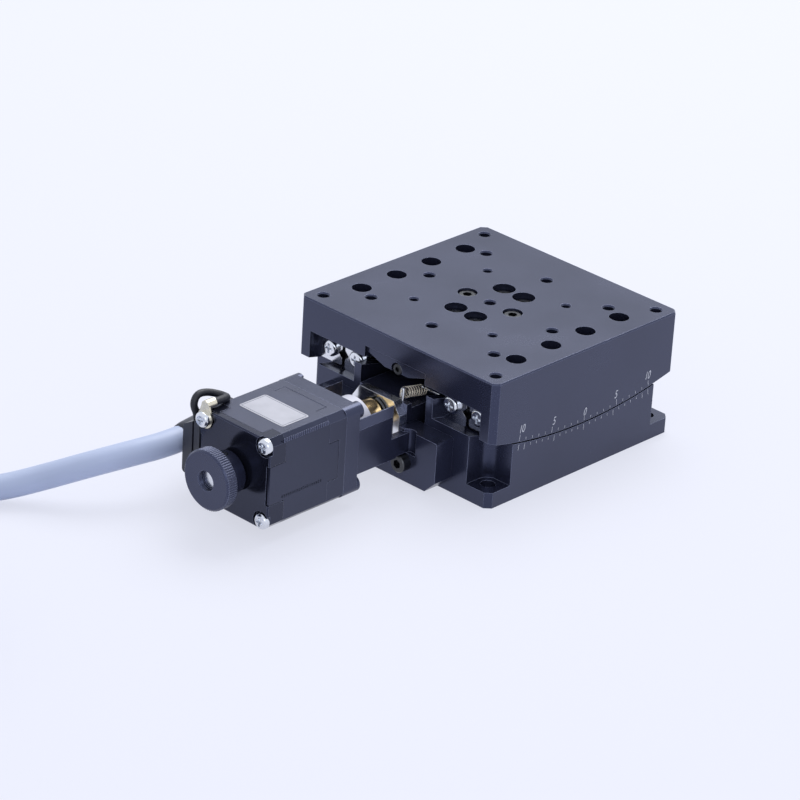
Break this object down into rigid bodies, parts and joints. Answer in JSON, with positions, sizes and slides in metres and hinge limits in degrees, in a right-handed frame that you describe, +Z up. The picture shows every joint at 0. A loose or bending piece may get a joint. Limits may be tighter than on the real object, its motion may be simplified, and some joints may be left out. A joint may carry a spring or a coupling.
{
  "type": "goniometer_stage",
  "caption": "Motorised goniometer tilt stage with curved crossed-roller rails, worm drive, stepping motor with hand knob, and its cable",
  "frame": {"origin": "centre of the base's underside, midway between its four mounting holes", "axes": "+X along the worm, away from the motor; +Y along the tilt axis, away from the face with the scale; +Z up out of the table"},
  "size_m": [0.3334, 0.1208, 0.04],
  "materials": {
    "black_anodised": "satin",
    "bright_steel": "polished",
    "screw_steel": "polished",
    "dark_steel": "satin",
    "bare_aluminium": "polished",
    "brass": "polished",
    "motor_black": "satin",
    "black_plastic": "satin",
    "cable_grey": "satin",
    "lead_black": "satin",
    "retainer_plastic": "satin",
    "white_resin": "satin"
  },
  "bodies": {
    "base_body": {"base": "black_anodised", "inner_rail_left": "bright_steel", "inner_rail_right": "bright_steel", "inner_rail_screws": "dark_steel", "inner_rail_end_screws": "screw_steel", "worm_bearing_outer_rings": "bright_steel", "worm_carrier": "bare_aluminium", "worm_carrier_screws": "dark_steel", "bearing_retainer": "bare_aluminium", "bearing_retainer_screws": "screw_steel", "preload_spring": "screw_steel", "spring_posts": "screw_steel", "motor_bracket": "black_anodised", "bracket_screws": "dark_steel", "motor_front_cap": "motor_black", "motor_stator": "motor_black", "motor_rear_cap": "motor_black", "motor_screws": "screw_steel", "motor_bearing_outer_rings": "bright_steel", "cable_box": "black_plastic", "cable_gland": "black_plastic", "cable": "cable_grey", "cable_coil": "cable_grey", "cable_tail": "cable_grey", "connector_hood": "black_plastic", "connector_shell": "screw_steel", "connector_jack_screws": "screw_steel", "earth_lead": "lead_black", "earth_lug": "screw_steel"},
    "table_body": {"table": "black_anodised", "outer_rail_left": "bright_steel", "outer_rail_right": "bright_steel", "outer_rail_screws": "dark_steel", "outer_rail_end_screws": "screw_steel", "worm_sector": "black_anodised", "sector_screws": "dark_steel", "sector_side_screws": "dark_steel", "sector_end_screw": "dark_steel"},
    "cage_left_body": {"roller_cage_left": "retainer_plastic", "rollers_left": "bright_steel"},
    "cage_right_body": {"roller_cage_right": "retainer_plastic", "rollers_right": "bright_steel"},
    "worm_body": {"worm": "dark_steel", "worm_bearing_inner_rings": "bright_steel", "worm_lock_nut": "dark_steel", "motor_rotor": "dark_steel", "motor_shaft": "bright_steel", "motor_bearing_inner_rings": "bright_steel", "coupling_motor_hub": "white_resin", "coupling_disc": "bright_steel", "coupling_worm_hub": "brass", "coupling_set_screws": "dark_steel", "hand_knob": "black_anodised", "knob_set_screw": "dark_steel"}
  },
  "joints": [
    {"name": "table_tilt", "type": "hinge", "parent": "base_body", "child": "table_body", "pos_m": [0, 0, 0.18], "axis": [0, 1, 0], "range_deg": [-10, 10]},
    {"name": "worm_spin", "type": "hinge", "parent": "base_body", "child": "worm_body", "pos_m": [0, 0, 0.0186], "axis": [1, 0, 0], "range_deg": [-3885, 3885]},
    {"name": "cage_left_roll", "type": "hinge", "parent": "base_body", "child": "cage_left_body", "pos_m": [0, 0, 0.18], "axis": [0, 1, 0], "range_deg": [-5.1, 5.1]},
    {"name": "cage_right_roll", "type": "hinge", "parent": "base_body", "child": "cage_right_body", "pos_m": [0, 0, 0.18], "axis": [0, 1, 0], "range_deg": [-5.1, 5.1]}
  ],
  "couplings": [
    {"joint": "worm_spin", "follows": "table_tilt", "ratio": 388},
    {"joint": "cage_left_roll", "follows": "table_tilt", "ratio": 0.5},
    {"joint": "cage_right_roll", "follows": "table_tilt", "ratio": 0.5}
  ]
}
